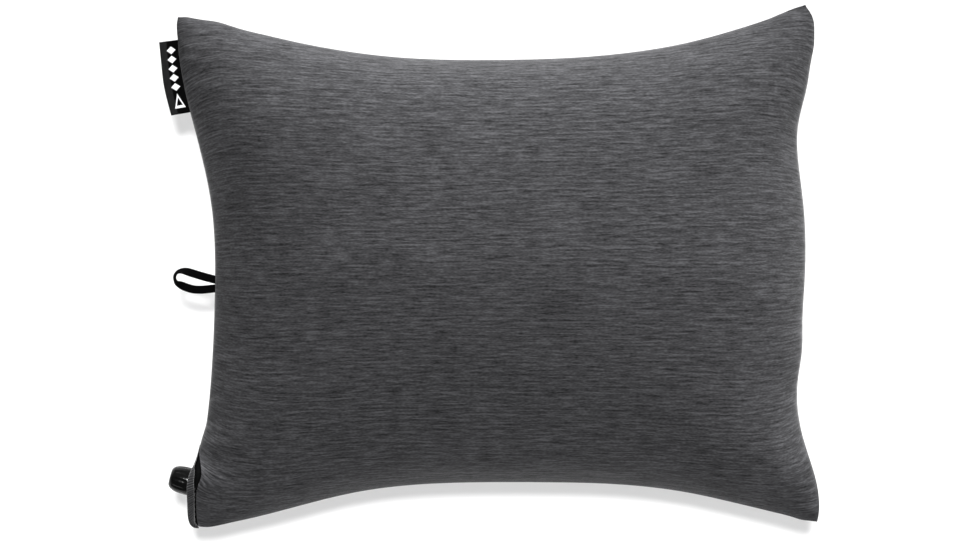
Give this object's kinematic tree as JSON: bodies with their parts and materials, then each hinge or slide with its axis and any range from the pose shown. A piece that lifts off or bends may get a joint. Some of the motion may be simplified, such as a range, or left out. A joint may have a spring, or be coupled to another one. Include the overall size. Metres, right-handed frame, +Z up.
{
  "type": "camp pillow",
  "caption": "Inflatable camp pillow: crowned stretch-knit cover, foam topper, air bladder, twist mouthpiece, hang loop and side label.",
  "frame": {"origin": "middle of the pillow's box, on the floor it lies on", "axes": "+X along the long side, away from the valve side; +Y towards the edge with the label's corner; +Z up out of the crown"},
  "size_m": [0.4349, 0.3459, 0.1],
  "materials": {
    "cover_knit": "charcoal melange stretch knit",
    "cover_back_knit": "charcoal melange stretch knit, back",
    "hem_knit": "overlocked knit hem",
    "thread": "black polyester thread",
    "webbing": "ribbed black tape",
    "label": "woven black label",
    "foam": "open-cell foam",
    "film": "coated polyester air film",
    "valve_plastic": "moulded",
    "seal": "matte",
    "mouthpiece_gloss": "gloss",
    "ring_plastic": "natural"
  },
  "bodies": {
    "base": {"cover_bottom_panel": "cover_back_knit", "bladder_bottom_film": "film", "baffle_front": "film", "baffle_rear": "film"},
    "crown": {"cover_top_panel": "cover_knit", "foam_topper": "foam", "bladder_top_film": "film"},
    "rim": {"seam_thread": "thread", "opening_hem_upper": "hem_knit", "opening_hem_lower": "hem_knit", "hem_stitching": "thread", "loop_bartack": "thread", "label_stitching": "thread", "valve_base": "valve_plastic", "valve_pintle": "valve_plastic", "pintle_o_ring": "seal", "stem_o_ring": "seal"},
    "loop": {"hang_loop": "webbing"},
    "label": {"side_label": "label"},
    "mouth_slide": {"stop_ring": "ring_plastic"},
    "mouth": {"mouthpiece": "mouthpiece_gloss"}
  },
  "joints": [
    {"name": "deflate", "type": "slide", "parent": "base", "child": "crown", "axis": [0, 0, -1], "range_m": [0, 0.05], "stiffness_N_per_m": 1500, "deforming": ["cover_top_panel", "foam_topper", "bladder_top_film", "cover_bottom_panel", "bladder_bottom_film", "baffle_front", "baffle_rear"]},
    {"name": "rim_sink", "type": "slide", "parent": "base", "child": "rim", "axis": [0, 0, -1], "range_m": [0, 0.025], "stiffness_N_per_m": 1500, "deforming": ["seam_thread", "opening_hem_upper", "opening_hem_lower", "hem_stitching", "loop_bartack", "label_stitching"]},
    {"name": "loop_swing", "type": "hinge", "parent": "rim", "child": "loop", "pos_m": [-0.1816, -0.0114, 0.05], "axis": [0, 1, 0], "range_deg": [-40, 75], "stiffness_Nm_per_rad": 0.005},
    {"name": "label_bend", "type": "hinge", "parent": "rim", "child": "label", "pos_m": [-0.2021, 0.1256, 0.05], "axis": [-0.1665, 0.986, 0], "range_deg": [-60, 75], "stiffness_Nm_per_rad": 0.003},
    {"name": "mouthpiece_lift", "type": "slide", "parent": "rim", "child": "mouth_slide", "axis": [-0.9659, 0.2588, 0], "range_m": [0, 0.003]},
    {"name": "mouthpiece_twist", "type": "hinge", "parent": "mouth_slide", "child": "mouth", "pos_m": [-0.2, -0.1415, 0.05], "axis": [-0.9659, 0.2588, 0], "range_deg": [0, 180]}
  ],
  "couplings": [
    {"joint": "rim_sink", "follows": "deflate", "ratio": 0.5},
    {"joint": "mouthpiece_twist", "follows": "mouthpiece_lift", "rad_per_m": 1047.2}
  ]
}
